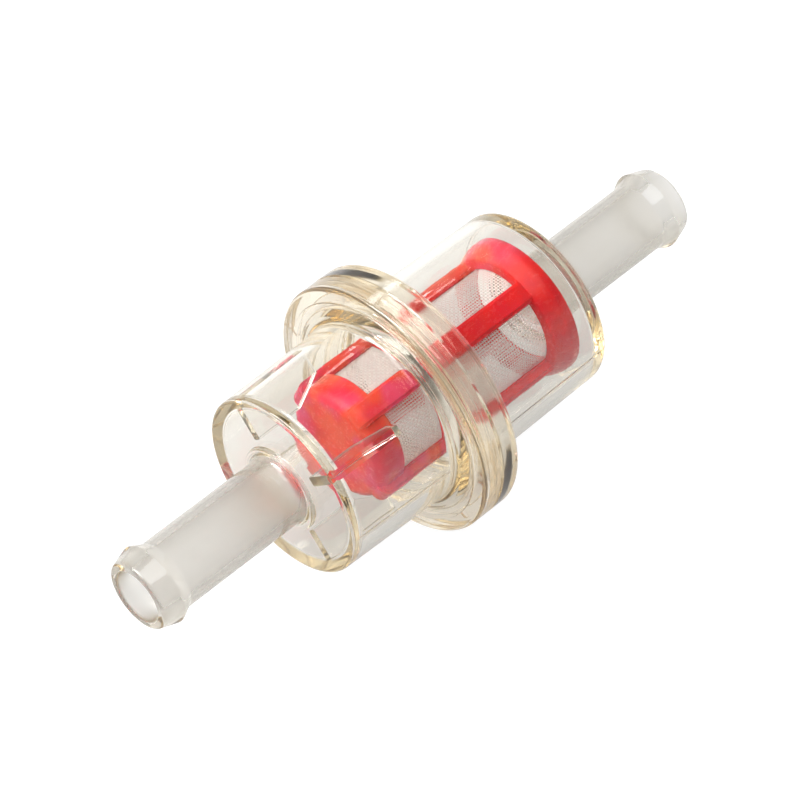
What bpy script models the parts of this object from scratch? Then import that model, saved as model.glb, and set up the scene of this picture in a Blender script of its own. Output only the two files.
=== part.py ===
"""Inline fuel filter: two clear cups welded at a double flange, with a red strainer and its gauze inside.

The filter's axis lies along world +X, from the inlet tail to the outlet tail. Every piece is turned or
extruded about a local Z axis and hangs on one empty, which lays that axis along +X.
"""

import math

import bmesh
import bpy
from mathutils import Matrix, Vector

MM = 0.001
SEGMENTS = 48
MERGE_DISTANCE = 0.00001

# Driving dimensions, in metres. Stations run along the filter's axis from the parting plane.
INLET_TAIL_LENGTH = 20.45 * MM
OUTLET_TAIL_LENGTH = 20.2 * MM
TAIL_RADIUS = 4.0 * MM
BORE_RADIUS = 3.0 * MM
TAIL_ROOT_FILLET = 0.8 * MM
COLLAR_RADIUS = 5.0 * MM
COLLAR_HEIGHT = 0.45 * MM
BARB_RADIUS = 4.72 * MM
BARB_RAMP = 2.35 * MM
BARB_BACK = 1.3 * MM
TIP_RADIUS = 3.98 * MM
TIP_ROUNDING = 0.35 * MM

INLET_CAP = -17.3 * MM
OUTLET_CAP = 20.8 * MM
INLET_CAP_THICKNESS = 1.3 * MM
OUTLET_CAP_THICKNESS = 1.3 * MM
INLET_CAP_ROUNDING = 0.4 * MM
OUTLET_CAP_ROUNDING = 0.75 * MM
INNER_ROUNDING = 0.6 * MM
CUP_RADIUS_AT_FLANGE = 11.0 * MM
CUP_RADIUS_AT_CAP = 10.7 * MM
WALL = 1.2 * MM

FLANGE_RADIUS = 15.2 * MM
FLANGE_THICKNESS = 2.55 * MM
FLANGE_EDGE_ROUNDING = 0.5 * MM
FLANGE_STEP_RADIUS = 13.5 * MM
FLANGE_STEP_HEIGHT = 0.4 * MM
FLANGE_ROOT_RADIUS = 12.0 * MM
FLANGE_ROOT_FILLET = 0.7 * MM
PARTING_CHAMFER = 0.2 * MM

FIT_GAP = 0.3 * MM
TONGUE_INNER_RADIUS = 12.3 * MM
TONGUE_THICKNESS = 0.7 * MM
TONGUE_HEIGHT = 1.05 * MM

RIB_COUNT = 4
RIB_CLOCK = math.radians(46.0)
RIB_THICKNESS = 1.1 * MM
RIB_INNER_RADIUS = 5.6 * MM
RIB_TIP_RADIUS = 7.6 * MM
RIB_SEAT_START = -11.1 * MM
RIB_END = -7.3 * MM
RIB_ROOT_DEPTH = 0.5 * MM

SPIGOT_RADIUS = 5.3 * MM
SPIGOT_WALL = 0.9 * MM
SPIGOT_FRONT = 18.6 * MM

BAR_COUNT = 4
BAR_CLOCK = math.radians(23.9)
BAR_WIDTH = 2.55 * MM
BAR_INNER_RADIUS = 6.15 * MM
BAR_OUTER_RADIUS = 7.55 * MM
BAR_FRONT = -9.5 * MM
BAR_FRONT_ROUNDING = 1.1 * MM
HUB_RADIUS = 6.8 * MM
HUB_FRONT = -9.6 * MM
HUB_REAR = -6.15 * MM
HUB_WALL = 1.05 * MM
HUB_ROUNDING = 1.3 * MM
RING_RADIUS = 8.35 * MM
RING_FRONT = 15.65 * MM
RING_CLEARANCE = 0.55 * MM
RING_FLARE_END = 17.4 * MM
RING_REAR = OUTLET_CAP - OUTLET_CAP_THICKNESS - RING_CLEARANCE
RING_REAR_DISH = 0.85 * MM

GAUZE_RADIUS = BAR_INNER_RADIUS - FIT_GAP
GAUZE_THICKNESS = 0.15 * MM

# The parting plane's place puts the overall box's centre on the origin.
PARTING_X = (INLET_TAIL_LENGTH - INLET_CAP - OUTLET_CAP - OUTLET_TAIL_LENGTH) / 2


def clear_scene():
    """Remove every object that is in the open file."""
    for old in list(bpy.data.objects):
        bpy.data.objects.remove(old, do_unlink=True)


def plastic(name, colour, roughness, transmission=0.0):
    """Return a Principled material in the given colour."""
    material = bpy.data.materials.new(name)
    material.use_nodes = True
    shader = material.node_tree.nodes["Principled BSDF"]
    shader.inputs["Base Color"].default_value = (*colour, 1.0)
    shader.inputs["Metallic"].default_value = 0.0
    shader.inputs["Roughness"].default_value = roughness
    shader.inputs["Transmission Weight"].default_value = transmission
    return material


def rounded_outline(corners, closed=True, steps=3):
    """Return the outline through (radius, station, rounding) corners, each with its own rounding."""
    places = [Vector((corner[0], corner[1])) for corner in corners]
    outline = []
    for index, (place, corner) in enumerate(zip(places, corners)):
        is_end = not closed and index in (0, len(corners) - 1)
        rounding = corner[2]
        if is_end or rounding == 0:
            outline.append(place)
            continue
        back = (places[index - 1] - place).normalized()
        ahead = (places[(index + 1) % len(places)] - place).normalized()
        half_angle = back.angle(ahead) / 2
        bisector = (back + ahead).normalized()
        centre = place + bisector * (rounding / math.sin(half_angle))
        reach = rounding / math.tan(half_angle)
        start = place + back * reach - centre
        sweep = start.angle_signed(place + ahead * reach - centre)
        for step in range(steps + 1):
            turn = Matrix.Rotation(-sweep * step / steps, 2)
            outline.append(centre + turn @ start)
    return outline


def turned(name, corners, frame, material=None, closed=True):
    """Turn an outline, which runs down its outer side, about the frame's Z axis."""
    outline = rounded_outline(corners, closed)
    vertices = [(point.x, 0.0, point.y) for point in outline]
    edges = [(index, index + 1) for index in range(len(outline) - 1)]
    if closed:
        edges.append((len(outline) - 1, 0))
    mesh = bpy.data.meshes.new(name)
    mesh.from_pydata(vertices, edges, [])
    piece = bpy.data.objects.new(name, mesh)
    bpy.context.collection.objects.link(piece)
    piece.parent = frame
    screw = piece.modifiers.new("Turn", "SCREW")
    screw.axis = "Z"
    screw.angle = math.tau
    screw.steps = SEGMENTS
    screw.render_steps = SEGMENTS
    screw.use_merge_vertices = True
    screw.merge_threshold = MERGE_DISTANCE
    screw.use_smooth_shade = True
    if material:
        mesh.materials.append(material)
    return piece


def guide(piece):
    """Mark an object as a guide, which shapes other pieces and is no piece itself."""
    piece.hide_render = True
    piece.display_type = "WIRE"
    return piece


def combine(piece, tool, operation):
    """Join a guide to a piece, or cut it from the piece."""
    boolean = piece.modifiers.new(tool.name, "BOOLEAN")
    boolean.operation = operation
    boolean.solver = "EXACT"
    boolean.object = tool


def repeated_solid(name, solids, frame):
    """Make one guide from a list of bmesh building functions."""
    build = bmesh.new()
    for solid in solids:
        solid(build)
    mesh = bpy.data.meshes.new(name)
    build.to_mesh(mesh)
    build.free()
    tool = bpy.data.objects.new(name, mesh)
    bpy.context.collection.objects.link(tool)
    tool.parent = frame
    return guide(tool)


def plate_on_edge(outline, thickness, clock):
    """Return a function that builds a radial plate from its (radius, station) outline."""

    def build_plate(build):
        turn = Matrix.Rotation(clock, 3, "Z")
        near = [build.verts.new(turn @ Vector((r, -thickness / 2, z))) for r, z in outline]
        far = [build.verts.new(turn @ Vector((r, thickness / 2, z))) for r, z in outline]
        faces = [build.faces.new(near), build.faces.new(reversed(far))]
        for index in range(len(outline)):
            after = (index + 1) % len(outline)
            faces.append(build.faces.new((near[after], near[index], far[index], far[after])))
        bmesh.ops.recalc_face_normals(build, faces=faces)

    return build_plate


def window_block(clock, bar_half, reach, bottom, top):
    """Return a function that builds the block which cuts the window between two bars."""

    def build_block(build):
        size = Vector((reach - bar_half, reach - bar_half, top - bottom))
        centre = Vector(((reach + bar_half) / 2, (reach + bar_half) / 2, (top + bottom) / 2))
        place = Matrix.Rotation(clock, 4, "Z") @ Matrix.Translation(centre) @ Matrix.Diagonal((*size, 1.0))
        bmesh.ops.create_cube(build, size=1.0, matrix=place)

    return build_block


def tail_outside(tip, cap, outward):
    """Return a hose tail's outer corners from its tip to its cap, where outward is the tip's direction."""
    barb = tip - outward * BARB_RAMP
    neck = barb - outward * BARB_BACK
    return [
        (BORE_RADIUS, tip, 0.0),
        (TIP_RADIUS, tip, TIP_ROUNDING),
        (BARB_RADIUS, barb, 0.5 * MM),
        (TAIL_RADIUS, neck, 0.5 * MM),
        (TAIL_RADIUS, cap + outward * COLLAR_HEIGHT, TAIL_ROOT_FILLET),
        (COLLAR_RADIUS, cap + outward * COLLAR_HEIGHT, 0.15 * MM),
        (COLLAR_RADIUS, cap, 0.0),
    ]


def flange_outside(outward):
    """Return a flange half's outer corners, from its root on the cup to the parting face."""
    face = outward * FLANGE_THICKNESS
    return [
        (FLANGE_ROOT_RADIUS, face + outward * FLANGE_STEP_HEIGHT, 0.3 * MM),
        (FLANGE_STEP_RADIUS, face + outward * FLANGE_STEP_HEIGHT * 0.3, 0.0),
        (FLANGE_STEP_RADIUS, face, 0.0),
        (FLANGE_RADIUS, face, FLANGE_EDGE_ROUNDING),
        (FLANGE_RADIUS, outward * (FIT_GAP / 2 + PARTING_CHAMFER), 0.0),
        (FLANGE_RADIUS - PARTING_CHAMFER, outward * FIT_GAP / 2, 0.0),
    ]


def inlet_housing(frame, material):
    """Build the inlet cup: tail, cap, wall, flange half with the weld groove, and four inner ribs."""
    inner_face = INLET_CAP + INLET_CAP_THICKNESS
    tip = INLET_CAP - INLET_TAIL_LENGTH
    groove_floor = -FIT_GAP / 2 - TONGUE_HEIGHT - FIT_GAP
    groove_inner = TONGUE_INNER_RADIUS - FIT_GAP
    groove_outer = TONGUE_INNER_RADIUS + TONGUE_THICKNESS + FIT_GAP
    outside = tail_outside(tip, INLET_CAP, -1) + [
        (CUP_RADIUS_AT_CAP, INLET_CAP, INLET_CAP_ROUNDING),
        (CUP_RADIUS_AT_FLANGE, -FLANGE_THICKNESS - FLANGE_STEP_HEIGHT, FLANGE_ROOT_FILLET),
    ] + flange_outside(-1)
    inside = [
        (groove_outer, -FIT_GAP / 2, 0.0),
        (groove_outer, groove_floor, 0.0),
        (groove_inner, groove_floor, 0.0),
        (groove_inner, -FIT_GAP / 2, 0.0),
        (CUP_RADIUS_AT_FLANGE - WALL, -FIT_GAP / 2, 0.0),
        (CUP_RADIUS_AT_CAP - WALL, inner_face, INNER_ROUNDING),
        (BORE_RADIUS, inner_face, INNER_ROUNDING),
    ]
    housing = turned("inlet_housing", (outside + inside)[::-1], frame, material)
    rib_outline = [
        (RIB_INNER_RADIUS, inner_face - RIB_ROOT_DEPTH),
        (CUP_RADIUS_AT_CAP - WALL / 2, inner_face - RIB_ROOT_DEPTH),
        (CUP_RADIUS_AT_CAP - WALL / 2, RIB_END),
        (RIB_TIP_RADIUS, RIB_END),
        (RIB_INNER_RADIUS, RIB_SEAT_START),
    ]
    clocks = [RIB_CLOCK + math.tau * index / RIB_COUNT for index in range(RIB_COUNT)]
    ribs = [plate_on_edge(rib_outline, RIB_THICKNESS, clock) for clock in clocks]
    combine(housing, repeated_solid("rib_guide", ribs, frame), "UNION")
    return housing


def outlet_housing(frame, material):
    """Build the outlet cup: tail, cap with its spigot, wall, and flange half with the weld tongue."""
    inner_face = OUTLET_CAP - OUTLET_CAP_THICKNESS
    tip = OUTLET_CAP + OUTLET_TAIL_LENGTH
    tongue_outer = TONGUE_INNER_RADIUS + TONGUE_THICKNESS
    outside = tail_outside(tip, OUTLET_CAP, 1) + [
        (CUP_RADIUS_AT_CAP, OUTLET_CAP, OUTLET_CAP_ROUNDING),
        (CUP_RADIUS_AT_FLANGE, FLANGE_THICKNESS + FLANGE_STEP_HEIGHT, FLANGE_ROOT_FILLET),
    ] + flange_outside(1)
    inside = [
        (tongue_outer, FIT_GAP / 2, 0.0),
        (tongue_outer, FIT_GAP / 2 - TONGUE_HEIGHT, 0.0),
        (TONGUE_INNER_RADIUS, FIT_GAP / 2 - TONGUE_HEIGHT, 0.0),
        (TONGUE_INNER_RADIUS, FIT_GAP / 2, 0.0),
        (CUP_RADIUS_AT_FLANGE - WALL, FIT_GAP / 2, 0.0),
        (CUP_RADIUS_AT_CAP - WALL, inner_face, INNER_ROUNDING),
        (SPIGOT_RADIUS, inner_face, 0.0),
        (SPIGOT_RADIUS, SPIGOT_FRONT, 0.2 * MM),
        (SPIGOT_RADIUS - SPIGOT_WALL, SPIGOT_FRONT, 0.2 * MM),
        (SPIGOT_RADIUS - SPIGOT_WALL, inner_face, 0.0),
        (BORE_RADIUS, inner_face + INNER_ROUNDING, INNER_ROUNDING),
    ]
    return turned("outlet_housing", outside + inside, frame, material)


def strainer_frame(frame, material):
    """Build the strainer's frame: open flared ring, four bars and closed hub in one moulding."""
    sleeve = turned("strainer_frame", [
        (BAR_INNER_RADIUS, RING_REAR - RING_REAR_DISH, 0.0),
        (RING_RADIUS, RING_REAR, 0.3 * MM),
        (RING_RADIUS, RING_FLARE_END, 0.8 * MM),
        (BAR_OUTER_RADIUS, RING_FRONT - 0.6 * MM, 0.8 * MM),
        (BAR_OUTER_RADIUS, BAR_FRONT, BAR_FRONT_ROUNDING),
        (BAR_INNER_RADIUS, BAR_FRONT, 0.0),
    ], frame, material)
    quarters = [BAR_CLOCK + math.tau * index / BAR_COUNT for index in range(BAR_COUNT)]
    window_bottom = BAR_FRONT - FIT_GAP
    blocks = [window_block(clock, BAR_WIDTH / 2, RING_RADIUS, window_bottom, RING_FRONT) for clock in quarters]
    combine(sleeve, repeated_solid("window_guide", blocks, frame), "DIFFERENCE")
    hub = guide(turned("hub_guide", [
        (0.0, HUB_FRONT + HUB_WALL, 0.0),
        (HUB_RADIUS - HUB_WALL, HUB_FRONT + HUB_WALL, 0.0),
        (HUB_RADIUS - HUB_WALL, HUB_REAR, 0.0),
        (HUB_RADIUS, HUB_REAR, 0.15 * MM),
        (HUB_RADIUS, HUB_FRONT, HUB_ROUNDING),
        (0.0, HUB_FRONT, 0.0),
    ], frame, closed=False))
    combine(sleeve, hub, "UNION")
    return sleeve


def strainer_mesh(frame, material):
    """Build the gauze as one thin sleeve inside the bars."""
    front = HUB_REAR + FIT_GAP
    rear = RING_REAR - RING_REAR_DISH - FIT_GAP
    return turned("strainer_mesh", [
        (GAUZE_RADIUS, rear, 0.0),
        (GAUZE_RADIUS, front, 0.0),
        (GAUZE_RADIUS - GAUZE_THICKNESS, front, 0.0),
        (GAUZE_RADIUS - GAUZE_THICKNESS, rear, 0.0),
    ], frame, material)


def main():
    """Build the whole filter."""
    clear_scene()
    frame = bpy.data.objects.new("filter_axis", None)
    bpy.context.collection.objects.link(frame)
    frame.location = (PARTING_X, 0.0, 0.0)
    frame.rotation_euler = (0.0, math.pi / 2, 0.0)

    clear_plastic = plastic("clear_plastic", (0.93, 0.91, 0.86), 0.08, transmission=0.9)
    red_plastic = plastic("red_plastic", (0.80, 0.05, 0.06), 0.3, transmission=0.3)
    gauze = plastic("gauze", (0.90, 0.88, 0.86), 0.7)

    inlet_housing(frame, clear_plastic)
    outlet_housing(frame, clear_plastic)
    strainer_frame(frame, red_plastic)
    strainer_mesh(frame, gauze)


main()
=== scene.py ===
"""Looks of a clear inline fuel filter: two welded cups, a red strainer cage and its nylon gauze."""

import logging
import math
from dataclasses import dataclass
from enum import Enum

import bmesh
import bpy
from mathutils import Matrix, Vector


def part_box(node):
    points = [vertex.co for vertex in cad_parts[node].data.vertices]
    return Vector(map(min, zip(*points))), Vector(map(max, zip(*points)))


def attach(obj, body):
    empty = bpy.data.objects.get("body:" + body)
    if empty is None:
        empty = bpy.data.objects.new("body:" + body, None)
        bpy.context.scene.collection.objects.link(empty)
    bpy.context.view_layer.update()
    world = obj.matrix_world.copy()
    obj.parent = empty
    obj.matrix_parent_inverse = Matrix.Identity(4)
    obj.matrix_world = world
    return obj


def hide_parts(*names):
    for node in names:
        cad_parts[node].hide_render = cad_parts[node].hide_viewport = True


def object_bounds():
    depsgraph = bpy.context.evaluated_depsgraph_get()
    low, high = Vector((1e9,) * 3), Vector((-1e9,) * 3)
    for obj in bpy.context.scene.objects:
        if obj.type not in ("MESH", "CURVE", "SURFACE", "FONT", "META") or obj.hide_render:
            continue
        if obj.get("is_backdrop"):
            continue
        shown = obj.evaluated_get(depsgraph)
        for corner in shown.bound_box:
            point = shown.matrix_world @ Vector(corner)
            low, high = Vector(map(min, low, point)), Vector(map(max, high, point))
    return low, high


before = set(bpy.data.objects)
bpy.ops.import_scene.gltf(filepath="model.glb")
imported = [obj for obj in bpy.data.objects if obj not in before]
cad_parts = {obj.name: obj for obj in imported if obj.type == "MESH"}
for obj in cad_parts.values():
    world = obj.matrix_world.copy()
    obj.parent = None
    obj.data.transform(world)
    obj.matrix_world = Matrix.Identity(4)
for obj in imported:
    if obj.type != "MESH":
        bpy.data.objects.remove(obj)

MM = 0.001
BODY = "root"
INLET_CAP = -17.3 * MM
OUTLET_CAP = 20.8 * MM
HALF_WELD_GAP = 0.15 * MM
FLOOR_GAP = 0.05 * MM
BROKEN_EDGE = 0.1 * MM
FINE_EDGE = 0.05 * MM
ON_AXIS = 1e-7
LOG = logging.getLogger("fuel_filter")
Socket = bpy.types.NodeSocket
Colour = tuple[float, float, float]
Ramp = tuple[float, float, float, float]


class Side(Enum):
    """Which cup a shape belongs to, as the direction of its tail along the axis."""

    INLET = -1
    OUTLET = 1


# ---- outlines and turned meshes


@dataclass(frozen=True)
class Corner:
    """One corner of a turned outline, in metres."""

    radius: float
    station: float
    rounding: float = 0.0


def rounded(corners: list[Corner], closed: bool = True, steps: int = 6) -> list[Vector]:
    """Round an outline's corners with tangent arcs.

    Args:
        corners: The outline's corners in order.
        closed: True if the last corner joins the first.
        steps: How many chords each arc is drawn with.

    Returns:
        The outline's points as (radius, station).
    """
    places = [Vector((corner.radius, corner.station)) for corner in corners]
    outline: list[Vector] = []
    for index, (place, corner) in enumerate(zip(places, corners)):
        is_end = not closed and index in (0, len(corners) - 1)
        if is_end or corner.rounding == 0:
            outline.append(place)
            continue
        back = (places[index - 1] - place).normalized()
        ahead = (places[(index + 1) % len(places)] - place).normalized()
        half_angle = back.angle(ahead) / 2
        centre = place + (back + ahead).normalized() * (corner.rounding / math.sin(half_angle))
        reach = corner.rounding / math.tan(half_angle)
        start = place + back * reach - centre
        sweep = start.angle_signed(place + ahead * reach - centre)
        for step in range(steps + 1):
            outline.append(centre + Matrix.Rotation(-sweep * step / steps, 2) @ start)
    return outline


@dataclass(frozen=True)
class Lathe:
    """Turns outlines about the filter's axis, which lies along X at the given parting plane."""

    parting: float
    segments: int = 144

    def turn(self, name: str, outline: list[Vector], closed: bool = True,
             extra_angles: tuple[float, ...] = ()) -> bpy.types.Mesh:
        """Turn an outline into a mesh whose faces point out.

        Args:
            name: The mesh's name.
            outline: Points as (radius, station); a point on the axis becomes one vertex.
            closed: True if the outline is a loop, False if both ends lie on the axis.
            extra_angles: Angles that get a column of vertices besides the even ones.

        Returns:
            The turned mesh.
        """
        even = [math.tau * index / self.segments for index in range(self.segments)]
        angles = sorted(set(even) | {angle % math.tau for angle in extra_angles})
        build = bmesh.new()
        rings = []
        for radius, station in outline:
            x = self.parting + station
            if radius < ON_AXIS:
                rings.append([build.verts.new((x, 0.0, 0.0))])
                continue
            rings.append([
                build.verts.new((x, radius * math.cos(angle), radius * math.sin(angle))) for angle in angles
            ])
        count = len(angles)
        pairs = list(zip(rings, rings[1:]))
        if closed:
            pairs.append((rings[-1], rings[0]))
        for here, there in pairs:
            for index in range(count):
                after = (index + 1) % count
                corners = []
                for ring, slots in ((here, (index, after)), (there, (after, index))):
                    for slot in slots:
                        vertex = ring[slot % len(ring)] if len(ring) > 1 else ring[0]
                        if vertex not in corners:
                            corners.append(vertex)
                if len(corners) > 2:
                    build.faces.new(corners)
        bmesh.ops.recalc_face_normals(build, faces=build.faces)
        return finished_mesh(name, build)


def extrude_profile(build: bmesh.types.BMesh, profile: list[Vector], clock: float, width: float,
                    parting: float, rounding: float) -> None:
    """Add a flat plate that stands on the filter's axis, with its long edges rounded.

    Args:
        build: The mesh that gets the plate.
        profile: The plate's outline as (radius, station).
        clock: The angle round the axis at which the plate stands.
        width: The plate's thickness.
        parting: Where station zero lies on X.
        rounding: The radius on the plate's long edges.
    """
    along = Vector((0.0, math.cos(clock), math.sin(clock)))
    across = Vector((0.0, -math.sin(clock), math.cos(clock))) * (width / 2)
    sides = [[
        build.verts.new(along * radius + across * half + Vector((parting + station, 0.0, 0.0)))
        for radius, station in profile
    ] for half in (-1, 1)]
    faces = [build.faces.new(sides[0]), build.faces.new(reversed(sides[1]))]
    for here in range(len(profile)):
        after = (here + 1) % len(profile)
        faces.append(build.faces.new((sides[0][after], sides[0][here], sides[1][here], sides[1][after])))
    bmesh.ops.recalc_face_normals(build, faces=faces)
    rims = {edge for face in faces[:2] for edge in face.edges}
    bmesh.ops.bevel(build, geom=list(rims), offset=rounding, segments=3, affect="EDGES")


def finished_mesh(name: str, build: bmesh.types.BMesh) -> bpy.types.Mesh:
    """Turn a bmesh into a named mesh and free it.

    Args:
        name: The mesh's name.
        build: The bmesh, which is used up.

    Returns:
        The mesh.
    """
    mesh = bpy.data.meshes.new(name)
    build.to_mesh(mesh)
    build.free()
    return mesh


def piece_from(name: str, mesh: bpy.types.Mesh) -> bpy.types.Object:
    """Link a mesh into the scene as one object.

    Args:
        name: The object's name.
        mesh: The object's mesh.

    Returns:
        The object.
    """
    piece = bpy.data.objects.new(name, mesh)
    bpy.context.collection.objects.link(piece)
    return piece


def combine(piece: bpy.types.Object, tool: bpy.types.Object, operation: str) -> None:
    """Join a tool to a piece, or cut it away, and remove the tool.

    Args:
        piece: The object that keeps the result.
        tool: The object that is used up.
        operation: UNION or DIFFERENCE.
    """
    boolean = piece.modifiers.new("combine", "BOOLEAN")
    boolean.operation = operation
    boolean.solver = "EXACT"
    boolean.object = tool
    bpy.context.view_layer.update()
    shaped = bpy.data.meshes.new_from_object(piece.evaluated_get(bpy.context.evaluated_depsgraph_get()))
    shaped.name = piece.name
    if len(shaped.polygons) < len(piece.data.polygons) // 2:
        raise RuntimeError(f"{piece.name} lost its faces when it was combined")
    piece.modifiers.remove(boolean)
    piece.data = shaped
    bpy.data.objects.remove(tool, do_unlink=True)


def smooth(piece: bpy.types.Object, sharp_degrees: float) -> None:
    """Shade a piece smooth, with flat areas kept flat by weighted normals.

    Args:
        piece: The object to shade.
        sharp_degrees: Edges that bend more than this stay sharp.
    """
    piece.data.shade_smooth()
    piece.data.set_sharp_from_angle(angle=math.radians(sharp_degrees))
    weighted = piece.modifiers.new("flat areas stay flat", "WEIGHTED_NORMAL")
    weighted.keep_sharp = True


# ---- shader wiring


def opaque(colour: Colour) -> tuple[float, float, float, float]:
    """Return a colour with full alpha."""
    return (*colour, 1.0)


def grey(value: float) -> tuple[float, float, float, float]:
    """Return an opaque grey."""
    return (value, value, value, 1.0)


@dataclass(frozen=True)
class Wiring:
    """Makes and links the nodes of one tree."""

    tree: bpy.types.NodeTree

    def node(self, kind: str, **settings: object) -> bpy.types.Node:
        """Add a node and set its properties.

        Args:
            kind: The node's type.
            **settings: The node's properties by name.

        Returns:
            The new node.
        """
        node = self.tree.nodes.new(kind)
        for name, value in settings.items():
            setattr(node, name, value)
        return node

    def join(self, value: object, socket: Socket) -> None:
        """Link a socket to an input, or set a plain value on it.

        Args:
            value: A socket or a plain value.
            socket: The input that gets it.
        """
        if isinstance(value, bpy.types.NodeSocket):
            self.tree.links.new(value, socket)
        else:
            socket.default_value = value

    def math(self, operation: str, first: object, second: object = None, clamp: bool = False) -> Socket:
        """Add a math node.

        Args:
            operation: The math operation's name.
            first: A socket or a number.
            second: A socket or a number, where the operation takes two.
            clamp: True to keep the result between 0 and 1.

        Returns:
            The result's socket.
        """
        node = self.node("ShaderNodeMath", operation=operation, use_clamp=clamp)
        self.join(first, node.inputs[0])
        if second is not None:
            self.join(second, node.inputs[1])
        return node.outputs[0]

    def ramp(self, value: object, low: object, high: object, out_low: float = 0.0,
             out_high: float = 1.0) -> Socket:
        """Map a value smoothly from one range to another.

        Args:
            value: The socket that drives the ramp.
            low: Where the ramp starts.
            high: Where the ramp ends.
            out_low: The result at the start.
            out_high: The result at the end.

        Returns:
            The result's socket.
        """
        node = self.node("ShaderNodeMapRange", interpolation_type="SMOOTHSTEP")
        for number, given in enumerate((value, low, high, out_low, out_high)):
            self.join(given, node.inputs[number])
        return node.outputs[0]

    def noise(self, vector: Socket, scale: object, detail: float, roughness: float = 0.5) -> Socket:
        """Add a noise texture.

        Args:
            vector: The socket that says where the noise is read.
            scale: How fine the noise is, per metre.
            detail: How many finer layers are added.
            roughness: How strong each finer layer is.

        Returns:
            The socket of the noise's value.
        """
        node = self.node("ShaderNodeTexNoise")
        self.join(vector, node.inputs["Vector"])
        self.join(scale, node.inputs["Scale"])
        settle(node, Detail=detail, Roughness=roughness)
        return node.outputs["Fac"]

    def blend(self, share: object, first: object, second: object) -> Socket:
        """Mix two colours.

        Args:
            share: How much of the second colour is in the mix.
            first: The first colour or its socket.
            second: The second colour or its socket.

        Returns:
            The mixed colour's socket.
        """
        node = self.node("ShaderNodeMix", data_type="RGBA")
        self.join(share, node.inputs["Factor"])
        self.join(first, node.inputs[6])
        self.join(second, node.inputs[7])
        return node.outputs[2]

    def bump(self, height: Socket, strength: float, distance: float) -> Socket:
        """Add a bump node.

        Args:
            height: The socket of the height.
            strength: How strong the bump is.
            distance: How deep the height reaches, in metres.

        Returns:
            The bumped normal's socket.
        """
        node = self.node("ShaderNodeBump")
        settle(node, Strength=strength, Distance=distance)
        self.join(height, node.inputs["Height"])
        return node.outputs["Normal"]

    def position(self) -> Socket:
        """Return the piece's own coordinates, which are the frame's, in metres."""
        return self.node("ShaderNodeTexCoord").outputs["Object"]

    def group(self, tree: bpy.types.NodeTree, **values: object) -> bpy.types.Node:
        """Place a node group with its own values.

        Args:
            tree: The group's tree.
            **values: Sockets or plain values by input name, with _ for a space.

        Returns:
            The group's node.
        """
        node = self.node("ShaderNodeGroup", node_tree=tree)
        for name, value in values.items():
            self.join(value, node.inputs[name.replace("_", " ")])
        return node


def new_group(name: str, inputs: tuple[str, ...], outputs: tuple[str, ...]) -> tuple[Wiring, dict, dict]:
    """Start a shader node group that reads a Vector and some numbers, and gives numbers.

    Args:
        name: The group's name.
        inputs: Names of the numbers that go in.
        outputs: Names of the numbers that come out.

    Returns:
        The group's wiring, its input sockets by name and its output sockets by name.
    """
    tree = bpy.data.node_groups.new(name, "ShaderNodeTree")
    tree.interface.new_socket("Vector", in_out="INPUT", socket_type="NodeSocketVector")
    for names, direction in ((inputs, "INPUT"), (outputs, "OUTPUT")):
        for number in names:
            tree.interface.new_socket(number, in_out=direction, socket_type="NodeSocketFloat")
    wiring = Wiring(tree)
    entry = wiring.node("NodeGroupInput")
    leave = wiring.node("NodeGroupOutput")
    given = {name: entry.outputs[name] for name in ("Vector", *inputs)}
    return wiring, given, {name: leave.inputs[name] for name in outputs}


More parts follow.
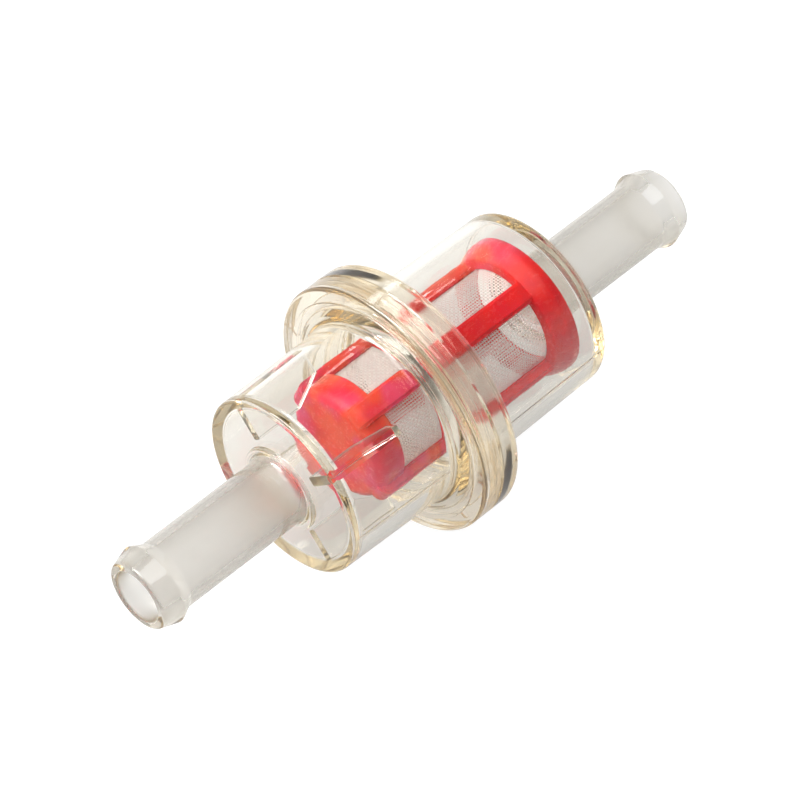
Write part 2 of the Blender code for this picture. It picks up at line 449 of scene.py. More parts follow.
class Effects:
    """The shader effects that the finishes share, each built once."""

    WAVE_DETAIL = 1.5
    GRAIN_DETAIL = 4.0
    GRAIN_ROUGHNESS = 0.65
    GRAIN_HEIGHT = 0.12
    SCRATCH_DETAIL = 2.0
    SCRATCH_STRETCH = (0.25, 1.0, 1.0)
    SCUFF_RAMP = (0.27, 0.42, 0.0, 1.0)
    TINT_RAMP = (0.3, 0.7, 0.0, 1.0)
    THREAD_EDGE = 0.12
    CROSSING_HEIGHT = 0.3
    CROSSING_SHADE = 0.06

    def __init__(self) -> None:
        """Build every group."""
        self.mould_skin = self.build_mould_skin()
        self.core_frost = self.build_core_frost()
        self.weave = self.build_weave()

    @staticmethod
    def build_mould_skin() -> bpy.types.NodeTree:
        """Build the skin of moulded plastic: slow flow waves, fine scuffs and a slight change of tint.

        Returns:
            A group that takes Vector, Wave Scale, Scuff Scale, Smooth and Scuffed, and gives Height,
            Scuff, Roughness and Tint.
        """
        wiring, given, out = new_group(
            "mould_skin", ("Wave Scale", "Scuff Scale", "Smooth", "Scuffed"),
            ("Height", "Scuff", "Roughness", "Tint"),
        )
        wave = wiring.noise(given["Vector"], given["Wave Scale"], Effects.WAVE_DETAIL)
        grain = wiring.noise(given["Vector"], given["Scuff Scale"], Effects.GRAIN_DETAIL,
                             Effects.GRAIN_ROUGHNESS)
        stretch = wiring.node("ShaderNodeMapping", vector_type="POINT")
        wiring.join(given["Vector"], stretch.inputs["Vector"])
        stretch.inputs["Scale"].default_value = Effects.SCRATCH_STRETCH
        scratch = wiring.noise(stretch.outputs["Vector"], given["Scuff Scale"], Effects.SCRATCH_DETAIL)
        scuff = wiring.ramp(wiring.math("MULTIPLY", grain, scratch), *Effects.SCUFF_RAMP)
        fine = wiring.math("MULTIPLY", grain, Effects.GRAIN_HEIGHT)
        wiring.join(wiring.math("ADD", wave, fine), out["Height"])
        wiring.join(scuff, out["Scuff"])
        spread = wiring.math("SUBTRACT", given["Scuffed"], given["Smooth"])
        rough = wiring.math("ADD", given["Smooth"], wiring.math("MULTIPLY", spread, scuff))
        wiring.join(rough, out["Roughness"])
        wiring.join(wiring.ramp(wave, *Effects.TINT_RAMP), out["Tint"])
        return wiring.tree

    @staticmethod
    def build_core_frost() -> bpy.types.NodeTree:
        """Build the mask of the matt wall that a core pin leaves around the filter's axis.

        Returns:
            A group that takes Vector, Radius and Edge, and gives Mask.
        """
        wiring, given, out = new_group("core_frost", ("Radius", "Edge"), ("Mask",))
        split = wiring.node("ShaderNodeSeparateXYZ")
        wiring.join(given["Vector"], split.inputs[0])
        squares = [wiring.math("MULTIPLY", split.outputs[axis], split.outputs[axis]) for axis in (1, 2)]
        radius = wiring.math("SQRT", wiring.math("ADD", *squares))
        end = wiring.math("ADD", given["Radius"], given["Edge"])
        wiring.join(wiring.ramp(radius, given["Radius"], end, 1.0, 0.0), out["Mask"])
        return wiring.tree

    @staticmethod
    def build_weave() -> bpy.types.NodeTree:
        """Build a plain weave wrapped round the filter's axis.

        Returns:
            A group that takes Vector, Pitch, Turns and Open, and gives Cover, Height and Shade.
        """
        wiring, given, out = new_group(
            "gauze_weave", ("Pitch", "Turns", "Open"), ("Cover", "Height", "Shade"),
        )
        split = wiring.node("ShaderNodeSeparateXYZ")
        wiring.join(given["Vector"], split.inputs[0])
        angle = wiring.math("ARCTAN2", split.outputs[2], split.outputs[1])
        around = wiring.math("MULTIPLY", angle, wiring.math("MULTIPLY", given["Turns"], 0.5))
        along = wiring.math("DIVIDE", wiring.math("MULTIPLY", split.outputs[0], math.pi), given["Pitch"])
        warp = wiring.math("ABSOLUTE", wiring.math("SINE", around))
        weft = wiring.math("ABSOLUTE", wiring.math("SINE", along))
        over = wiring.math("MULTIPLY", wiring.math("SINE", around), wiring.math("SINE", along))
        ridge = wiring.math("MAXIMUM", warp, weft)
        edge = wiring.math("ADD", given["Open"], Effects.THREAD_EDGE)
        wiring.join(wiring.ramp(ridge, given["Open"], edge), out["Cover"])
        lift = wiring.math("MULTIPLY", over, Effects.CROSSING_HEIGHT)
        wiring.join(wiring.math("ADD", ridge, lift), out["Height"])
        crest = wiring.math("ADD", ridge, wiring.math("MULTIPLY", over, Effects.CROSSING_SHADE))
        wiring.join(wiring.ramp(crest, given["Open"], 1.0), out["Shade"])
        return wiring.tree


# ---- finishes


def settle(node: bpy.types.Node, **values: object) -> None:
    """Set plain values on a node's inputs by name, with _ for a space.

    Args:
        node: The node.
        **values: The values by input name.
    """
    for name, value in values.items():
        node.inputs[name.replace("_", " ")].default_value = value


def new_material(name: str) -> tuple[bpy.types.Material, Wiring, bpy.types.Node, bpy.types.Node]:
    """Make a material with nodes.

    Args:
        name: The material's name.

    Returns:
        The material, its wiring, its Principled node and its output node.
    """
    material = bpy.data.materials.new(name)
    material.use_nodes = True
    wiring = Wiring(material.node_tree)
    nodes = material.node_tree.nodes
    return material, wiring, nodes["Principled BSDF"], nodes["Material Output"]


@dataclass(frozen=True)
class ClearMoulding:
    """Clear moulded plastic with a warm tint, matt where a core pin was, and with a faint painted glow in
    the flange that stands in for light scattered there.
    """

    effects: Effects
    wave_scale: float = 260.0
    scuff_scale: float = 1400.0
    wave_strength: float = 0.06
    wave_depth: float = 0.3 * MM
    pale: Colour = (0.994, 0.987, 0.977)
    warm: Colour = (0.989, 0.979, 0.963)
    refraction: float = 1.50
    polished: float = 0.012
    scuffed: float = 0.07
    frosted: float = 0.55
    frost_radius: float = 3.15 * MM
    frost_edge: float = 0.1 * MM
    rim_radius: float = 14.75 * MM
    rim_edge: float = 0.35 * MM
    rim_frost: float = 0.12
    # Painted light: beyond this radius the flange gets a faint emission that stands in for light scattered
    # in it.
    painted_glow_radius: float = 11.7 * MM
    painted_glow_edge: float = 0.7 * MM
    painted_flange_glow: Colour = (0.034, 0.028, 0.021)
    painted_glow_least: float = 0.75
    absorption_colour: Colour = (0.78, 0.66, 0.36)
    absorption: float = 64.0

    def material(self, name: str) -> bpy.types.Material:
        """Build the material.

        Args:
            name: The material's name.

        Returns:
            The material.
        """
        material, wiring, shader, output = new_material(name)
        place = wiring.position()
        skin = wiring.group(self.effects.mould_skin, Vector=place, Wave_Scale=self.wave_scale,
                            Scuff_Scale=self.scuff_scale, Smooth=self.polished, Scuffed=self.scuffed)
        frost = wiring.group(self.effects.core_frost, Vector=place, Radius=self.frost_radius,
                             Edge=self.frost_edge)
        wiring.join(wiring.blend(skin.outputs["Tint"], opaque(self.pale), opaque(self.warm)),
                    shader.inputs["Base Color"])
        inside_rim = wiring.group(self.effects.core_frost, Vector=place, Radius=self.rim_radius,
                                  Edge=self.rim_edge)
        rim = wiring.math("SUBTRACT", 1.0, inside_rim.outputs["Mask"])
        extra = wiring.math("ADD", wiring.math("MULTIPLY", frost.outputs["Mask"], self.frosted),
                            wiring.math("MULTIPLY", rim, self.rim_frost))
        rough = wiring.math("ADD", skin.outputs["Roughness"], extra, clamp=True)
        wiring.join(rough, shader.inputs["Roughness"])
        wiring.join(wiring.bump(skin.outputs["Height"], self.wave_strength, self.wave_depth),
                    shader.inputs["Normal"])
        # Painted light: a faint, patchy emission in the flange, outside the given radius, stands in for
        # light scattered there and lifts its dark refracted paths.
        clear = wiring.group(self.effects.core_frost, Vector=place, Radius=self.painted_glow_radius,
                             Edge=self.painted_glow_edge)
        painted_glow_patches = wiring.ramp(skin.outputs["Tint"], 0.0, 1.0, self.painted_glow_least, 1.0)
        painted_glow_share = wiring.math("MULTIPLY", wiring.math("SUBTRACT", 1.0, clear.outputs["Mask"]), painted_glow_patches)
        wiring.join(wiring.blend(painted_glow_share, grey(0.0), opaque(self.painted_flange_glow)),
                    shader.inputs["Emission Color"])
        settle(shader, Metallic=0.0, Transmission_Weight=1.0, IOR=self.refraction, Emission_Strength=1.0)
        absorb = wiring.node("ShaderNodeVolumeAbsorption")
        settle(absorb, Color=opaque(self.absorption_colour), Density=self.absorption)
        wiring.join(absorb.outputs[0], output.inputs["Volume"])
        return material


@dataclass(frozen=True)
class RedMoulding:
    """Bright red moulded plastic that lets some light into its body, mottled towards the inlet with lighter
    patches that are partly painted light, and with a painted sheen on its upper far side.
    """

    effects: Effects
    wave_scale: float = 420.0
    scuff_scale: float = 2200.0
    wave_strength: float = 0.25
    wave_depth: float = 0.2 * MM
    deep: Colour = (0.80, 0.003, 0.016)
    bright: Colour = (0.87, 0.010, 0.008)
    # Colours of the painted sheen on the cage's upper far side.
    sheen_peach: Colour = (0.96, 0.26, 0.15)
    sheen_rose: Colour = (0.95, 0.14, 0.26)
    # Partly painted light: lighter orange and rose patches towards the inlet end, mottled at random, stand
    # in for the hub's strongly lit face and its pink sheen.
    hub_lit_orange: Colour = (0.94, 0.105, 0.055)
    hub_sheen_rose: Colour = (0.92, 0.085, 0.20)
    hub_light_end: float = 3.0 * MM
    hub_light_scale: float = 260.0
    hub_light_detail: float = 2.0
    hub_light_ramp: Ramp = (0.34, 0.62, 0.35, 1.0)
    hue_scale: float = 210.0
    hue_detail: float = 1.0
    hue_ramp: Ramp = (0.42, 0.58, 0.0, 1.0)
    # Painted sheen: peach and rose patches on the upper far side, towards the top of the view, where the
    # light falls.
    painted_sheen_towards: Colour = (0.35, 0.80, 0.49)
    painted_sheen_low: float = 8.0 * MM
    painted_sheen_high: float = 12.0 * MM
    painted_sheen_scale: float = 330.0
    painted_sheen_detail: float = 3.0
    painted_sheen_roughness: float = 0.6
    painted_sheen_ramp: Ramp = (0.36, 0.58, 0.40, 0.95)
    glossy: float = 0.24
    scuffed: float = 0.38
    glow: float = 0.55
    glow_reach: float = 1.6 * MM
    glow_spread: Colour = (1.0, 0.15, 0.12)
    shine: float = 0.35

    def material(self, name: str) -> bpy.types.Material:
        """Build the material.

        Args:
            name: The material's name.

        Returns:
            The material.
        """
        material, wiring, shader, _ = new_material(name)
        place = wiring.position()
        skin = wiring.group(self.effects.mould_skin, Vector=place, Wave_Scale=self.wave_scale,
                            Scuff_Scale=self.scuff_scale, Smooth=self.glossy, Scuffed=self.scuffed)
        split = wiring.node("ShaderNodeSeparateXYZ")
        wiring.join(place, split.inputs[0])
        # Partly painted light: random patches towards the inlet end blend in the hub's lit orange and sheen
        # rose.
        front = wiring.ramp(split.outputs[0], -self.hub_light_end, self.hub_light_end, 1.0, 0.0)
        hub_light_patches = wiring.ramp(wiring.noise(place, self.hub_light_scale, self.hub_light_detail), *self.hub_light_ramp)
        hue = wiring.ramp(wiring.noise(place, self.hue_scale, self.hue_detail), *self.hue_ramp)
        hub_light = wiring.blend(hue, opaque(self.hub_sheen_rose), opaque(self.hub_lit_orange))
        plain = wiring.blend(skin.outputs["Tint"], opaque(self.deep), opaque(self.bright))
        body = wiring.blend(wiring.math("MULTIPLY", front, hub_light_patches), plain, hub_light)
        # Painted sheen: noisy peach and rose patches, masked to the side that faces the given direction,
        # where the light falls.
        towards = wiring.node("ShaderNodeVectorMath", operation="DOT_PRODUCT")
        wiring.join(place, towards.inputs[0])
        towards.inputs[1].default_value = self.painted_sheen_towards
        side = wiring.ramp(towards.outputs["Value"], self.painted_sheen_low, self.painted_sheen_high)
        puffs = wiring.noise(place, self.painted_sheen_scale, self.painted_sheen_detail, self.painted_sheen_roughness)
        painted_sheen_patches = wiring.ramp(puffs, *self.painted_sheen_ramp)
        painted_sheen = wiring.blend(hue, opaque(self.sheen_peach), opaque(self.sheen_rose))
        share = wiring.math("MULTIPLY", painted_sheen_patches, side)
        wiring.join(wiring.blend(share, body, painted_sheen), shader.inputs["Base Color"])
        wiring.join(skin.outputs["Roughness"], shader.inputs["Roughness"])
        wiring.join(wiring.bump(skin.outputs["Height"], self.wave_strength, self.wave_depth),
                    shader.inputs["Normal"])
        settle(shader, Metallic=0.0, Specular_IOR_Level=self.shine, Subsurface_Weight=self.glow,
               Subsurface_Radius=self.glow_spread, Subsurface_Scale=self.glow_reach)
        return material


@dataclass(frozen=True)
class NylonGauze:
    """Fine white nylon gauze, woven over and under."""

    effects: Effects
    pitch: float = 0.32 * MM
    turns: float = 120.0
    opening: float = 0.82
    roughness: float = 0.5
    thread_strength: float = 0.6
    thread_depth: float = 0.05 * MM
    bright: Colour = (0.97, 0.95, 0.94)
    shaded: Colour = (0.86, 0.58, 0.56)

    def material(self, name: str) -> bpy.types.Material:
        """Build the material.

        Args:
            name: The material's name.

        Returns:
            The material.
        """
        material, wiring, shader, _ = new_material(name)
        weave = wiring.group(self.effects.weave, Vector=wiring.position(), Pitch=self.pitch,
                             Turns=self.turns, Open=self.opening)
        wiring.join(wiring.blend(weave.outputs["Shade"], opaque(self.shaded), opaque(self.bright)),
                    shader.inputs["Base Color"])
        wiring.join(weave.outputs["Cover"], shader.inputs["Alpha"])
        wiring.join(wiring.bump(weave.outputs["Height"], self.thread_strength, self.thread_depth),
                    shader.inputs["Normal"])
        settle(shader, Roughness=self.roughness, Metallic=0.0, Subsurface_Weight=0.0)
        return material


@dataclass(frozen=True)
class PaleFloor:
    """A plain white sheet. It looks white, and lights the filter more from behind than from the front."""

    colour: Colour = (0.16, 0.16, 0.158)
    speck_scale: float = 60.0
    speck_detail: float = 2.0
    speck: float = 0.985
    roughness: float = 0.9
    seen: float = 0.96
    cast_front: float = 0.55
    cast_back: float = 0.95
    turn_end: float = 60.0 * MM
    backwards: Colour = (0.0, 1.0, 0.0)
    bright_radius: float = 0.05
    dim_radius: float = 0.25
    dim: float = 0.50

    def material(self, name: str) -> bpy.types.Material:
        """Build the material.

        Args:
            name: The material's name.

        Returns:
            The material.
        """
        material, wiring, shader, _ = new_material(name)
        place = wiring.position()
        speck = wiring.noise(place, self.speck_scale, self.speck_detail)
        reach = wiring.node("ShaderNodeVectorMath", operation="LENGTH")
        wiring.join(place, reach.inputs[0])
        fade = wiring.ramp(reach.outputs["Value"], self.bright_radius, self.dim_radius)
        behind = wiring.node("ShaderNodeVectorMath", operation="DOT_PRODUCT")
        wiring.join(place, behind.inputs[0])
        behind.inputs[1].default_value = self.backwards
        share = wiring.ramp(behind.outputs["Value"], 0.0, self.turn_end)
        close = wiring.blend(share, grey(self.cast_front), grey(self.cast_back))
        cast = wiring.blend(fade, close, grey(self.dim))
        specked = opaque(tuple(value * self.speck for value in self.colour))
        wiring.join(wiring.blend(speck, opaque(self.colour), specked), shader.inputs["Base Color"])
        direct = wiring.node("ShaderNodeLightPath").outputs["Is Camera Ray"]
        wiring.join(wiring.blend(direct, cast, grey(self.seen)), shader.inputs["Emission Color"])
        settle(shader, Roughness=self.roughness, Specular_IOR_Level=0.0, Emission_Strength=1.0)
        return material


# ---- the filter's pieces


@dataclass(frozen=True)
class ClearCup:
    """One clear cup with its hose tail, cap, wall and half of the welded flange."""

    side: Side
    node: str
    slot: str
    tip: float
    cap: float
    flange_radius: float
    tail_radius: float = 4.0 * MM
    bore_radius: float = 3.0 * MM
    bore_rounding: float = 0.25 * MM
    tail_fillet: float = 0.8 * MM
    collar_radius: float = 5.0 * MM
    collar_height: float = 0.45 * MM
    barb_radius: float = 4.72 * MM
    barb_ramp: float = 2.35 * MM
    barb_back: float = 1.45 * MM
    tip_radius: float = 3.98 * MM
    tip_rounding: float = 0.4 * MM
    cap_thickness: float = 1.3 * MM
    cap_rounding: float = 0.4 * MM
    radius_at_flange: float = 11.0 * MM
    radius_at_cap: float = 10.7 * MM
    wall: float = 1.2 * MM
    flange_thickness: float = 2.55 * MM
    flange_rounding: float = 0.45 * MM
    step_radius: float = 13.5 * MM
    step_height: float = 0.4 * MM
    root_radius: float = 12.0 * MM
    weld_overlap: float = 0.02 * MM
    weld_chamfer: float = 0.22 * MM
    weld_rounding: float = 0.02 * MM
    barb_rounding: float = 0.45 * MM
    barb_root_rounding: float = 0.5 * MM
    collar_rounding: float = 0.16 * MM
    collar_root_rounding: float = 0.12 * MM
    wall_fillet: float = 0.7 * MM
    root_fillet: float = 0.3 * MM
    step_share: float = 0.3
    split_angle: float = math.radians(178.4)
    split_height: float = 0.035 * MM
    split_half_width: float = math.radians(0.35)
    crease_degrees: float = 40.0

    def outside(self) -> list[Corner]:
        """Return the outer corners, from the bore's mouth to the parting face."""
        out = self.side.value
        barb = self.tip - out * self.barb_ramp
        face = out * self.flange_thickness
        return [
            Corner(self.bore_radius, self.tip, self.bore_rounding),
            Corner(self.tip_radius, self.tip, self.tip_rounding),
            Corner(self.barb_radius, barb, self.barb_rounding),
            Corner(self.tail_radius, barb - out * self.barb_back, self.barb_root_rounding),
            Corner(self.tail_radius, self.cap + out * self.collar_height, self.tail_fillet),
            Corner(self.collar_radius, self.cap + out * self.collar_height, self.collar_rounding),
            Corner(self.collar_radius, self.cap, self.collar_root_rounding),
            Corner(self.radius_at_cap, self.cap, self.cap_rounding),
            Corner(self.radius_at_flange, face + out * self.step_height, self.wall_fillet),
            Corner(self.root_radius, face + out * self.step_height, self.root_fillet),
            Corner(self.step_radius, face + out * self.step_height * self.step_share, BROKEN_EDGE),
            Corner(self.step_radius, face, FINE_EDGE),
            Corner(self.flange_radius, face, self.flange_rounding),
            Corner(self.flange_radius, out * (self.weld_chamfer - self.weld_overlap / 2), BROKEN_EDGE),
            Corner(self.flange_radius - self.weld_chamfer, -out * self.weld_overlap / 2,
                   self.weld_rounding),
        ]

    def inside(self) -> list[Corner]:
        """Return the inner corners, from the parting face back to the bore."""
        raise NotImplementedError

    def shape(self, piece: bpy.types.Object, lathe: Lathe) -> None:
        """Add what isn't turned; a plain cup has nothing more."""

    def raise_split_line(self, mesh: bpy.types.Mesh) -> None:
        """Raise the fine line that the mould's two halves leave along the cup's outer wall."""
        low = self.radius_at_cap - self.wall / 2
        for vertex in mesh.vertices:
            radius = math.hypot(vertex.co.y, vertex.co.z)
            angle = math.atan2(vertex.co.z, vertex.co.y) % math.tau
            off = abs((angle - self.split_angle + math.pi) % math.tau - math.pi)
            if low < radius < self.radius_at_flange + self.split_height and off < self.split_half_width / 4:
                scale = (radius + self.split_height) / radius
                vertex.co.y *= scale
                vertex.co.z *= scale

    def build(self, lathe: Lathe, finish: ClearMoulding) -> bpy.types.Object:
        """Build the cup and dress it.

        Args:
            lathe: What turns the outline.
            finish: The cup's finish.

        Returns:
            The finished piece.
        """
        beside = tuple(self.split_angle + self.split_half_width * share for share in (-1.0, 0.0, 1.0))
        outline = rounded(self.outside() + self.inside())
        mesh = lathe.turn(f"{self.node}_moulding", outline, extra_angles=beside)
        self.raise_split_line(mesh)
        piece = piece_from(f"{self.node}_moulding", mesh)
        self.shape(piece, lathe)
        smooth(piece, self.crease_degrees)
        piece.data.materials.clear()
        piece.data.materials.append(finish.material(f"{self.slot}_plastic"))
        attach(piece, BODY)
        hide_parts(self.node)
        return piece


@dataclass(frozen=True)
class InletCup(ClearCup):
    """The inlet cup, whose four ribs seat the strainer's closed end."""

    rib_count: int = 4
    rib_clock: float = math.radians(136.0)
    rib_thickness: float = 1.1 * MM
    rib_inner_radius: float = 5.6 * MM
    rib_tip_radius: float = 7.6 * MM
    rib_seat_start: float = -11.1 * MM
    rib_end: float = -7.3 * MM
    rib_rounding: float = 0.12 * MM
    groove_inner: float = 12.25 * MM
    groove_outer: float = 13.05 * MM
    groove_depth: float = 1.3 * MM
    floor_fillet: float = 0.45 * MM
    bore_mouth: float = 0.4 * MM

    def inside(self) -> list[Corner]:
        """Return the inner corners, with the weld groove in the parting face."""
        inner_face = self.cap + self.cap_thickness
        parting = self.weld_overlap / 2
        return [
            Corner(self.groove_outer, parting, FINE_EDGE),
            Corner(self.groove_outer, parting - self.groove_depth, BROKEN_EDGE),
            Corner(self.groove_inner, parting - self.groove_depth, BROKEN_EDGE),
            Corner(self.groove_inner, parting, FINE_EDGE),
            Corner(self.radius_at_flange - self.wall, parting, BROKEN_EDGE),
            Corner(self.radius_at_cap - self.wall, inner_face, self.floor_fillet),
            Corner(self.bore_radius, inner_face, self.bore_mouth),
        ]

    def shape(self, piece: bpy.types.Object, lathe: Lathe) -> None:
        """Join the four seat ribs to the cup's cap and wall."""
        rooted = self.cap + self.cap_thickness / 2
        in_wall = self.radius_at_cap - self.wall / 2
        outline = rounded([
            Corner(self.rib_inner_radius, rooted), Corner(in_wall, rooted), Corner(in_wall, self.rib_end),
            Corner(self.rib_tip_radius, self.rib_end, self.rib_rounding),
            Corner(self.rib_inner_radius, self.rib_seat_start, self.rib_rounding),
        ], steps=3)
        build = bmesh.new()
        for index in range(self.rib_count):
            clock = self.rib_clock + math.tau * index / self.rib_count
            extrude_profile(build, outline, clock, self.rib_thickness, lathe.parting, self.rib_rounding)
        combine(piece, piece_from("seat_ribs", finished_mesh("seat_ribs", build)), "UNION")


@dataclass(frozen=True)
class OutletCup(ClearCup):
    """The outlet cup, whose spigot holds the strainer's open ring."""

    spigot_radius: float = 5.3 * MM
    spigot_wall: float = 0.9 * MM
    spigot_front: float = 18.6 * MM
    spigot_rounding: float = 0.2 * MM
    floor_fillet: float = 0.5 * MM
    tongue_inner: float = 12.24 * MM
    tongue_outer: float = 13.06 * MM
    tongue_height: float = 1.05 * MM
    ejector_count: int = 8
    ejector_clock: float = math.radians(133.1)
    ejector_radius: float = 0.62 * MM
    ejector_depth: float = 0.22 * MM
    ejector_circle: float = 14.15 * MM

    def inside(self) -> list[Corner]:
        """Return the inner corners, with the weld tongue and the spigot."""
        inner_face = self.cap - self.cap_thickness
        parting = -self.weld_overlap / 2
        return [
            Corner(self.tongue_outer, parting, FINE_EDGE),
            Corner(self.tongue_outer, parting - self.tongue_height, BROKEN_EDGE),
            Corner(self.tongue_inner, parting - self.tongue_height, BROKEN_EDGE),
            Corner(self.tongue_inner, parting, FINE_EDGE),
            Corner(self.radius_at_flange - self.wall, parting, BROKEN_EDGE),
            Corner(self.radius_at_cap - self.wall, inner_face, self.floor_fillet),
            Corner(self.spigot_radius, inner_face, self.spigot_rounding),
            Corner(self.spigot_radius, self.spigot_front, self.spigot_rounding),
            Corner(self.spigot_radius - self.spigot_wall, self.spigot_front, self.spigot_rounding),
            Corner(self.spigot_radius - self.spigot_wall, inner_face, self.spigot_rounding),
            Corner(self.bore_radius, inner_face, BROKEN_EDGE),
        ]

    def shape(self, piece: bpy.types.Object, lathe: Lathe) -> None:
        """Sink the shallow round marks of the ejector pins into the flange's outer face."""
        build = bmesh.new()
        for index in range(self.ejector_count):
            clock = self.ejector_clock + math.tau * index / self.ejector_count
            centre = Vector((lathe.parting + self.flange_thickness, self.ejector_circle * math.cos(clock),
                             self.ejector_circle * math.sin(clock)))
            place = Matrix.Translation(centre) @ Matrix.Diagonal(
                (self.ejector_depth, self.ejector_radius, self.ejector_radius, 1.0))
            bmesh.ops.create_uvsphere(build, u_segments=24, v_segments=12, radius=1.0, matrix=place)
        combine(piece, piece_from("ejector_marks", finished_mesh("ejector_marks", build)), "DIFFERENCE")


@dataclass(frozen=True)
class StrainerCage:
    """The red cage: closed hub, four bars and the flared open ring, moulded in one."""

    ring_rear: float
    bar_count: int = 4
    bar_clock: float = math.radians(113.9)
    bar_width: float = 2.55 * MM
    bar_inner: float = 6.15 * MM
    bar_outer: float = 7.55 * MM
    bar_front: float = -9.52 * MM
    bar_nose: float = 1.1 * MM
    bar_overlap: float = 0.3 * MM
    hub_radius: float = 6.8 * MM
    hub_front: float = -9.6 * MM
    hub_rounding: float = 1.3 * MM
    hub_rear: float = -6.15 * MM
    hub_wall: float = 1.05 * MM
    ring_radius: float = 8.35 * MM
    ring_front: float = 15.65 * MM
    flare_end: float = 17.4 * MM
    ring_dish: float = 0.85 * MM
    ring_rounding: float = 0.35 * MM
    ring_lip_rounding: float = 0.15 * MM
    flare_rounding: float = 1.2 * MM
    inner_rounding: float = 0.2 * MM
    hub_rear_rounding: float = 0.25 * MM
    hub_inner_rounding: float = 0.4 * MM
    bar_rounding: float = 0.3 * MM
    crease_degrees: float = 35.0

    def ring(self, lathe: Lathe) -> bpy.types.Object:
        """Turn the open ring."""
        corners = [
            Corner(self.bar_inner, self.ring_rear - self.ring_dish, self.ring_lip_rounding),
            Corner(self.ring_radius, self.ring_rear, self.ring_rounding),
            Corner(self.ring_radius, self.flare_end, self.flare_rounding),
            Corner(self.bar_outer, self.ring_front, self.ring_rounding),
            Corner(self.bar_inner, self.ring_front, self.inner_rounding),
        ]
        return piece_from("strainer_cage", lathe.turn("strainer_cage", rounded(corners)))

    def hub(self, lathe: Lathe) -> bpy.types.Object:
        """Turn the closed hub."""
        inner = self.hub_front + self.hub_wall
        corners = [
            Corner(0.0, inner), Corner(self.hub_radius - self.hub_wall, inner, self.hub_inner_rounding),
            Corner(self.hub_radius - self.hub_wall, self.hub_rear, self.inner_rounding),
            Corner(self.hub_radius, self.hub_rear, self.hub_rear_rounding),
            Corner(self.hub_radius, self.hub_front, self.hub_rounding), Corner(0.0, self.hub_front),
        ]
        return piece_from("hub", lathe.turn("hub", rounded(corners, closed=False), closed=False))

    def bars(self, lathe: Lathe) -> bpy.types.Object:
        """Build the four bars, whose round noses run down to the hub's face."""
        rear = self.ring_front + self.bar_overlap
        profile = rounded([
            Corner(self.bar_inner, self.bar_front),
            Corner(self.bar_outer, self.bar_front, self.bar_nose),
            Corner(self.bar_outer, rear),
            Corner(self.bar_inner, rear),
        ])
        build = bmesh.new()
        for index in range(self.bar_count):
            clock = self.bar_clock + math.tau * index / self.bar_count
            extrude_profile(build, profile, clock, self.bar_width, lathe.parting, self.bar_rounding)
        return piece_from("bars", finished_mesh("bars", build))

    def build(self, lathe: Lathe, finish: RedMoulding) -> bpy.types.Object:
        """Build the cage and dress it.

        Args:
            lathe: What turns the ring and the hub.
            finish: The cage's finish.

        Returns:
            The finished piece.
        """
        piece = self.ring(lathe)
        combine(piece, self.bars(lathe), "UNION")
        combine(piece, self.hub(lathe), "UNION")
        smooth(piece, self.crease_degrees)
        piece.data.materials.clear()
        piece.data.materials.append(finish.material("red_plastic"))
        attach(piece, BODY)
        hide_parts("strainer_frame")
        return piece


@dataclass(frozen=True)
class StrainerGauze:
    """The gauze sleeve, which lies against the inner side of the bars."""

    radius: float = 6.08 * MM
    front: float = -6.2 * MM
    rear: float = 17.6 * MM
    rows: int = 24

    def build(self, lathe: Lathe, finish: NylonGauze) -> bpy.types.Object:
        """Build the sleeve as one thin sheet and dress it.

        Args:
            lathe: Gives the parting plane and the number of columns.
            finish: The gauze's finish.

        Returns:
            The finished piece.
        """
        build = bmesh.new()
        rings = []
        for row in range(self.rows + 1):
            x = lathe.parting + self.front + (self.rear - self.front) * row / self.rows
            rings.append([
                build.verts.new((x, self.radius * math.cos(angle), self.radius * math.sin(angle)))
                for angle in (math.tau * index / lathe.segments for index in range(lathe.segments))
            ])
        for here, there in zip(rings, rings[1:]):
            for index in range(lathe.segments):
                after = (index + 1) % lathe.segments
                build.faces.new((here[index], here[after], there[after], there[index]))
        mesh = finished_mesh("strainer_gauze", build)
        mesh.shade_smooth()
        piece = piece_from("strainer_gauze", mesh)
        mesh.materials.append(finish.material("nylon_gauze"))
        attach(piece, BODY)
        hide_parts("strainer_mesh")
        return piece


# ---- studio


@dataclass(frozen=True)
class SoftBox:
    """One large soft lamp, aimed at the filter."""

    name: str
    azimuth: float
    elevation: float
    distance: float
    size: float
    power: float
    colour: Colour = (1.0, 1.0, 1.0)

    def light(self) -> None:
        """Hang the lamp."""
        data = bpy.data.lights.new(self.name, "AREA")
        data.shape = "DISK"
        data.size = self.size
        data.energy = self.power
        data.color = self.colour
        lamp = bpy.data.objects.new(self.name, data)
        bpy.context.collection.objects.link(lamp)
        lamp.location = sight(self.azimuth, self.elevation) * self.distance
        lamp.rotation_euler = lamp.location.to_track_quat("Z", "Y").to_euler()


def sight(azimuth: float, elevation: float) -> Vector:
    """Return the direction from the filter towards a viewer.

    Args:
        azimuth: The viewer's angle round the vertical, in degrees; 0 looks along +Y.
        elevation: The viewer's angle above the floor, in degrees.

    Returns:
        The direction, one long.
    """
    turn, rise = math.radians(azimuth), math.radians(elevation)
    return Vector((math.sin(turn) * math.cos(rise), -math.cos(turn) * math.cos(rise), math.sin(rise)))


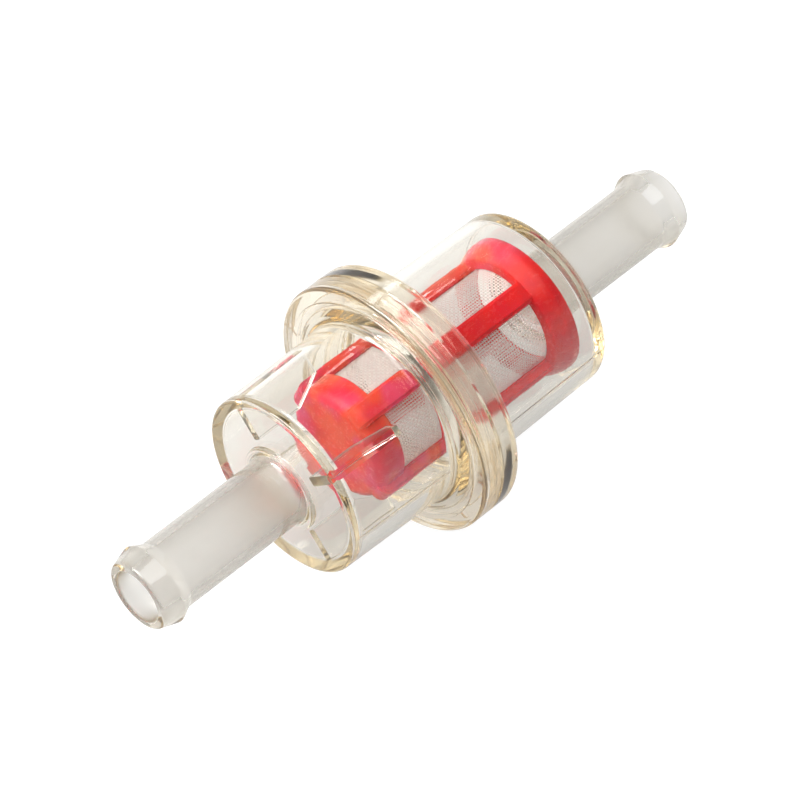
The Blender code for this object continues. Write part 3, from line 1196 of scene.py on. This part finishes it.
@dataclass(frozen=True)
class Studio:
    """The camera, the floor, the sky and the lamps."""

    floor_height: float
    aim: Vector
    azimuth: float = -45.16
    elevation: float = 48.87
    distance: float = 0.440
    lens: float = 187.3
    aim_drop: float = 0.18 * MM
    horizon_front: float = 0.58
    horizon_back: float = 0.88
    zenith: float = 0.16
    glow_low: float = 0.15
    glow_high: float = 0.65
    glow_side: float = 0.9
    floor_size: float = 6.0
    boxes: tuple[SoftBox, ...] = (
        SoftBox("key_soft_box", azimuth=-124.0, elevation=44.0, distance=1.0, size=0.7, power=19.0),
        SoftBox("top_soft_box", azimuth=-60.0, elevation=80.0, distance=1.0, size=0.9, power=8.0),
        SoftBox("rim_soft_box", azimuth=144.8, elevation=35.9, distance=0.9, size=0.09, power=0.22),
    )
    bounces: int = 28
    diffuse_bounces: int = 6
    brightest_bounce: float = 8.0

    def camera(self) -> None:
        """Place the camera on its line of sight, with the filter's axis just above the middle."""
        data = bpy.data.cameras.new("camera")
        data.lens = self.lens
        data.sensor_width = 36.0
        data.clip_start = 0.01
        data.clip_end = 20.0
        camera = bpy.data.objects.new("camera", data)
        bpy.context.collection.objects.link(camera)
        back = sight(self.azimuth, self.elevation)
        below = Vector((1.0, 0.0, 0.0)).cross(back).normalized()
        camera.location = self.aim + below * self.aim_drop + back * self.distance
        camera.rotation_euler = back.to_track_quat("Z", "Y").to_euler()
        bpy.context.scene.camera = camera

    def floor(self) -> None:
        """Lay the floor just under the flange."""
        build = bmesh.new()
        bmesh.ops.create_grid(build, x_segments=8, y_segments=8, size=self.floor_size / 2,
                              matrix=Matrix.Translation((0.0, 0.0, self.floor_height)))
        floor = piece_from("floor", finished_mesh("floor", build))
        floor.data.materials.append(PaleFloor().material("pale_floor"))
        floor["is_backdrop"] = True

    def sky_light(self) -> None:
        """Light the scene from all round, most from the horizon behind the filter."""
        world = bpy.data.worlds.new("soft_sky")
        world.use_nodes = True
        wiring = Wiring(world.node_tree)
        background = world.node_tree.nodes["Background"]
        split = wiring.node("ShaderNodeSeparateXYZ")
        wiring.join(wiring.node("ShaderNodeTexCoord").outputs["Generated"], split.inputs[0])
        rise = wiring.ramp(split.outputs[2], self.glow_low, self.glow_high)
        away = wiring.math("ADD", split.outputs[0], split.outputs[1])
        share = wiring.ramp(away, -self.glow_side, self.glow_side)
        low = wiring.blend(share, grey(self.horizon_front), grey(self.horizon_back))
        wiring.join(wiring.blend(rise, low, grey(self.zenith)), background.inputs["Color"])
        background.inputs["Strength"].default_value = 1.0
        bpy.context.scene.world = world

    def set_up(self) -> None:
        """Set up the whole studio."""
        self.camera()
        self.floor()
        self.sky_light()
        for box in self.boxes:
            box.light()
        scene = bpy.context.scene
        scene.view_settings.view_transform = "Standard"
        scene.view_settings.look = "None"
        paths = scene.cycles
        paths.max_bounces = self.bounces
        paths.transmission_bounces = self.bounces
        paths.transparent_max_bounces = self.bounces
        paths.glossy_bounces = self.bounces
        paths.diffuse_bounces = self.diffuse_bounces
        paths.sample_clamp_indirect = self.brightest_bounce


def main() -> None:
    """Set up the studio, build the filter's pieces in order and report each one."""
    logging.basicConfig(level=logging.INFO, format="%(name)s: %(message)s")
    cad_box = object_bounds()
    inlet_low, inlet_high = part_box("inlet_housing")
    outlet_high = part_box("outlet_housing")[1]
    strainer_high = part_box("strainer_frame")[1]
    parting = inlet_high[0] + HALF_WELD_GAP
    flange_radius = inlet_high[1]
    Studio(floor_height=cad_box[0][2] - FLOOR_GAP, aim=Vector((parting, 0.0, 0.0))).set_up()

    lathe = Lathe(parting)
    effects = Effects()
    clear = ClearMoulding(effects)
    pieces = [
        InletCup(Side.INLET, "inlet_housing", "clear_inlet", inlet_low[0] - parting, INLET_CAP,
                 flange_radius).build(lathe, clear),
        OutletCup(Side.OUTLET, "outlet_housing", "clear_outlet", outlet_high[0] - parting, OUTLET_CAP,
                  flange_radius, cap_rounding=0.75 * MM).build(lathe, clear),
        StrainerCage(ring_rear=strainer_high[0] - parting).build(lathe, RedMoulding(effects)),
        StrainerGauze().build(lathe, NylonGauze(effects)),
    ]
    for piece in pieces:
        LOG.info("%s: %d faces", piece.name, len(piece.data.polygons))


if __name__ == "__main__":
    main()
